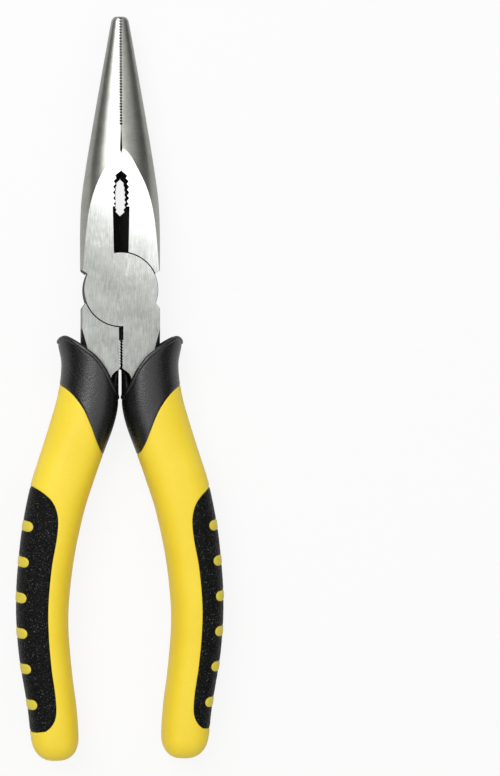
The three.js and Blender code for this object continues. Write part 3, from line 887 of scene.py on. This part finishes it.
def rim_bead():
    """The rolled edge of the collar, swept along its rim."""
    across, up = round_section(BEAD_STEPS, GRIP_SQUARENESS[0][1])
    crest = GRIP_LEAN[0][1] * up ** 2
    low, high = np.full(BEAD_STEPS, float(LOWEST_RIM_Y)), np.full(BEAD_STEPS, float(GRIP_TOP_Y))
    outer, inner, depth = smooth(GRIP_OUTER), smooth(GRIP_INNER), smooth(GRIP_HALF_DEPTHS)

    def place(y, inset):
        half_width = (outer(y) - inner(y)) / 2 - inset
        x = (outer(y) + inner(y)) / 2 + half_width * across + crest
        return np.stack([x, y, (depth(y) - inset) * up], axis=-1)

    for _ in range(HALVINGS):
        middle = (low + high) / 2
        over = middle > np.interp(place(middle, 0)[:, 0], *RIM_LINE.T)
        low, high = np.where(over, low, middle), np.where(over, middle, high)
    path = place(low - RIM_BEAD * BEAD_DROP, RIM_BEAD * BEAD_INSET)
    run = np.roll(path, -1, axis=0) - np.roll(path, 1, axis=0)
    run /= np.linalg.norm(run, axis=1, keepdims=True)
    side = np.cross(run, (0, 1, 0))
    side /= np.linalg.norm(side, axis=1, keepdims=True)
    rise = np.cross(side, run)
    angle = np.linspace(0, 2 * math.pi, BEAD_SIDES, endpoint=False)[:, None, None]
    rings = (path + RIM_BEAD * (np.cos(angle) * side + np.sin(angle) * rise)).transpose(1, 0, 2)
    rows, columns = rings.shape[:2]
    here = np.arange(rows * columns).reshape(rows, columns)
    below, beside = np.roll(here, -1, axis=0), np.roll(here, -1, axis=1)
    quads = np.stack([here, beside, np.roll(below, -1, axis=1), below], axis=-1).reshape(-1, 4)
    return outward(solid("rim_bead", rings.reshape(-1, 3), quads.tolist(), CORE))


def tongue():
    """The part of the core that comes up between the tangs, rounded at its end."""
    y = np.linspace(TONGUE_SIDE[0][0], TONGUE_SIDE[-1][0], TONGUE_RINGS)
    outer = smooth(TONGUE_SIDE)(y)
    share = np.clip((y[0] - y) / TONGUE_ROUND, TONGUE_START, 1)
    depth = TONGUE_HALF_DEPTH * np.sqrt(1 - (1 - share) ** 2)
    angle = np.linspace(0, 2 * math.pi, TONGUE_STEPS, endpoint=False)
    inner = straight(TONGUE_INNER)(y)
    x = ((outer + inner) / 2)[:, None] + ((outer - inner) / 2)[:, None] * np.cos(angle)
    z = depth[:, None] * np.sin(angle)
    return loft("tongue", np.stack([x, np.broadcast_to(y[:, None], x.shape), z], axis=-1), CORE)


def grip_core():
    """Collar with the thumb guard, the tongue in the throat, and the sleeve that holds the tang."""
    collar = grip_body("grip_core", spacing=SKIN_SPACING, raised=collar_surface, material=CORE)
    combine(collar, "DIFFERENCE", above("rim", RIM_LINE, material=CORE))
    combine(collar, "INTERSECT", above("foot", FOOT_LINE, material=CORE))
    sleeve = tang_bar(FIT_GAP + SLEEVE_WALL, CORE)
    combine(sleeve, "DIFFERENCE", above("rim", RIM_LINE, material=CORE))
    combine(sleeve, "INTERSECT", grip_body("skin", SLEEVE_SKIN, material=CORE))
    combine(collar, "UNION", tongue(), sleeve, rim_bead())
    return combine(collar, "DIFFERENCE", tang_bar(FIT_GAP, CORE))


def shell_surface(p):
    """How far the shell's surface drops at the collar and at the inlay."""
    x, y, z = np.moveaxis(p, -1, 0)
    return -lip(-from_foot(x, y), FOOT_LIP) - lip(-into_inlay(x, y, z), POCKET_LIP)


def ridge_surface(p):
    """How far a ridge stands above the grip, less its rounded edges."""
    x, y, _ = np.moveaxis(p, -1, 0)
    return RIDGE_PROUD - lip(-from_ridges(x, y), RIDGE_LIP)


def grip_shell():
    """The shell with its pocket for the inlay and the ridges, hollow round the sleeve."""
    shell = grip_body("grip_shell", spacing=SKIN_SPACING, raised=shell_surface, material=SHELL)
    combine(shell, "DIFFERENCE", above("foot", FOOT_LINE, -SEAM, SHELL))
    pocket = inlay_region("pocket", SEAM, SHELL)
    combine(pocket, "DIFFERENCE", grip_body("pocket_floor", INLAY_DEPTH + FIT_GAP, material=SHELL))
    combine(shell, "DIFFERENCE", pocket)
    ridges = grip_body("ridges", spacing=SKIN_SPACING, raised=ridge_surface, material=SHADED_RIDGE)
    combine(ridges, "DIFFERENCE", grip_body("ridge_root", INLAY_DEPTH + RIDGE_ROOT, material=SHELL))
    bars = ridge_bars(0)
    combine(bars[0], "UNION", *bars[1:])
    combine(ridges, "INTERSECT", bars[0])
    combine(shell, "UNION", ridges)
    hollow = tang_bar(2 * FIT_GAP + SLEEVE_WALL, SHELL)
    combine(hollow, "INTERSECT", grip_body("hollow_skin", SLEEVE_SKIN - SEAM, material=SHELL))
    return combine(shell, "DIFFERENCE", hollow)


def pebbles(p):
    """Small round bumps packed side by side, as in leather grain."""
    flat = p.reshape(-1, 3) / PEBBLE_SIZE
    gap = np.array([np.subtract(*noise.voronoi(Vector(q))[0][1::-1]) for q in flat])
    return np.clip(gap / PEBBLE_VALLEY, 0, 1).reshape(p.shape[:-1]) ** PEBBLE_ROUNDNESS


def inlay_surface(p):
    """The pebbled surface, smooth along the seams and dropping into them."""
    x, y, z = np.moveaxis(p, -1, 0)
    edge = into_inlay(x, y, z)
    ridge = from_ridges(x, y)
    calm = np.clip(np.minimum(edge, ridge) / PEBBLE_CALM, 0, 1)
    return PEBBLE_HEIGHT * (pebbles(p) - 1) * calm - lip(edge, INLAY_LIP) - lip(ridge, POCKET_LIP)


def grip_inlay():
    """The pebbled inlay, open where each ridge comes through."""
    inlay = grip_body("grip_inlay", spacing=PEBBLE_SPACING, raised=inlay_surface, material=INLAY,
                      top=INLAY_TOP_Y)
    combine(inlay, "INTERSECT", inlay_region("region", -SEAM, INLAY))
    underside = grip_body("underside", INLAY_DEPTH, material=INLAY)
    return combine(inlay, "DIFFERENCE", underside, *ridge_bars(SEAM))


# ---------- pieces on the frame ----------

def settle(piece, node_name, body, turned_round, sharp=SHARP):
    """Puts a finished piece on the frame in place of its CAD node."""
    turn = Matrix.Rotation(math.pi, 4, "Y") if turned_round else Matrix.Identity(4)
    piece.data.transform(Matrix.Translation(PIVOT) @ turn @ Matrix.Scale(MM, 4))
    piece.name = node_name + "_skin"
    piece.data.polygons.foreach_set("use_smooth", [True] * len(piece.data.polygons))
    piece.data.set_sharp_from_angle(angle=math.radians(sharp))
    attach(piece, body)
    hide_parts(node_name)
    return piece


def twin(piece):
    """A second piece of the same shape, for the other handle."""
    copy = piece.copy()
    copy.data = piece.data.copy()
    bpy.context.scene.collection.objects.link(copy)
    return copy


def build_grips():
    """Makes the three pieces of the right-hand grip, and turns a twin of each for the left."""
    made = [(grip_core(), "grip_core", "black_core", SHARP),
            (grip_shell(), "grip_shell", "yellow_shell", SHARP),
            (grip_inlay(), "grip_inlay", "black_inlay", SHARP_PEBBLES)]
    for piece, name, slot, sharp in made:
        settle(twin(piece), f"left_{name}", "right_jaw", True, sharp)
        settle(piece, f"right_{name}", "left_jaw", False, sharp)


def build_rivet():
    """The rivet, whose front end was ground together with the head."""
    pin = rivet("rivet", FRONT_FILL, 0, RIVET)
    pin.data.materials.append(GROUND)
    for face in pin.data.polygons:
        face.material_index = int(face.normal.z > STRAIGHT_ON)
    settle(pin, "pivot_rivet", "left_jaw", False)


def unturned(piece):
    return piece


settle(jaw_half(unturned), "left_jaw_half", "left_jaw", False, SHARP_STEEL)
settle(jaw_half(swapped), "right_jaw_half", "right_jaw", True, SHARP_STEEL)
build_grips()
build_rivet()


# ---------- studio ----------

PALE = 0.95                    # what the camera sees past the floor
FLOOR_REACH = 6.0              # metres from the middle
FLOOR_GREY = 0.78
FLOOR_GREY_SEEN = 0.1          # the floor as the camera sees it, besides its glow
FLOOR_GLOW = 0.87
KEY_PLACE = (-0.29, 0.38, 0.8)
KEY_AIM = (0, 0.05, 0)
KEY_SIZE = (0.5, 0.6)
KEY_POWER = 4.0
# Light from overhead: its level near the horizon and at the top, and the heights they are reached at
OVERHEAD_LEVELS = (0.13, 1.56)
OVERHEAD_HEIGHTS = (0.6, 0.98)
# Its share from each side, from the left (0) to the right (1)
LIGHT_ACROSS = [(0.1, 0.6), (0.22, 0.65), (0.3, 1.0), (0.42, 1.0), (0.52, 0.72), (0.68, 0.78),
                (0.8, 1.0), (0.9, 0.6)]
# Light from beyond the tips and the grips' ends
END_LEVELS = (0.0, 0.5)
END_REACHES = (0.3, 0.6)


def floor():
    """A pale floor, which the camera sees brighter than the light that it gives the pliers."""
    made, tree, shader = new_material("pale_floor")
    seen = node(tree, "LightPath").outputs["Is Camera Ray"]
    glow = maths(tree, "MULTIPLY", seen, FLOOR_GLOW)
    darker = maths(tree, "MULTIPLY", seen, FLOOR_GREY - FLOOR_GREY_SEEN)
    grey = maths(tree, "SUBTRACT", FLOOR_GREY, darker)
    wire(tree, shader, Base_Color=grey, Roughness=0.9, Specular_IOR_Level=0.0,
         Emission_Color=(1, 1, 1, 1), Emission_Strength=glow)
    corners = [(x * FLOOR_REACH, y * FLOOR_REACH, 0) for x, y in ((-1, -1), (1, -1), (1, 1), (-1, 1))]
    solid("floor", corners, [(0, 1, 2, 3)], made)


def softbox(name, place, aim, size, power):
    lamp = bpy.data.lights.new(name, "AREA")
    lamp.shape = "RECTANGLE"
    lamp.size, lamp.size_y = size
    lamp.energy = power
    box = bpy.data.objects.new(name, lamp)
    box.location = place
    box.rotation_euler = (Vector(aim) - Vector(place)).to_track_quat("-Z", "Y").to_euler()
    box.visible_camera = False
    bpy.context.scene.collection.objects.link(box)


def studio():
    """The floor, one softbox, and soft light from overhead and from both ends."""
    floor()
    softbox("key", KEY_PLACE, KEY_AIM, KEY_SIZE, KEY_POWER)
    world = bpy.data.worlds.new("studio")
    bpy.context.scene.world = world
    world.use_nodes = True
    tree = world.node_tree
    toward = node(tree, "TexCoord").outputs["Generated"]
    direction = node(tree, "SeparateXYZ", Vector=toward).outputs
    overhead = spread(tree, direction["Z"], *OVERHEAD_LEVELS, *OVERHEAD_HEIGHTS)
    across = ramp(tree, spread(tree, direction["X"], 0, 1, -1, 1),
                  *[(place, (level, level, level)) for place, level in LIGHT_ACROSS])
    ends = spread(tree, maths(tree, "ABSOLUTE", direction["Y"], 0.0), *END_LEVELS, *END_REACHES)
    light = maths(tree, "MAXIMUM", maths(tree, "MULTIPLY", overhead, across), ends)
    seen = node(tree, "LightPath").outputs["Is Camera Ray"]
    pale = maths(tree, "MULTIPLY", seen, PALE)
    unseen = maths(tree, "MULTIPLY", maths(tree, "SUBTRACT", 1.0, seen), light)
    tree.links.new(maths(tree, "ADD", pale, unseen), tree.nodes["Background"].inputs["Color"])
    bpy.context.scene.view_settings.view_transform = "Standard"


CAMERA_DISTANCE = 0.603        # metres from the middle of the pliers
CAMERA_SIDE = math.radians(-3.5)  # tilted to the left of straight down
CAMERA_TURN = math.radians(3.335)  # then turned to the right, past the middle of the pliers
LENS = 103.5
SENSOR_HEIGHT = 36


def camera():
    """Looks down on the pliers, turned so that they lie in the left half of the picture."""
    data = bpy.data.cameras.new("camera")
    data.sensor_fit = "VERTICAL"
    data.sensor_height = SENSOR_HEIGHT
    data.lens = LENS
    eye = bpy.data.objects.new("camera", data)
    middle = Vector((0, 0, PIVOT.z))
    back = Vector((math.sin(CAMERA_SIDE), 0, math.cos(CAMERA_SIDE)))
    eye.location = middle + back * CAMERA_DISTANCE
    eye.rotation_euler = (0, CAMERA_SIDE - CAMERA_TURN, 0)
    bpy.context.scene.collection.objects.link(eye)
    bpy.context.scene.camera = eye


studio()
camera()
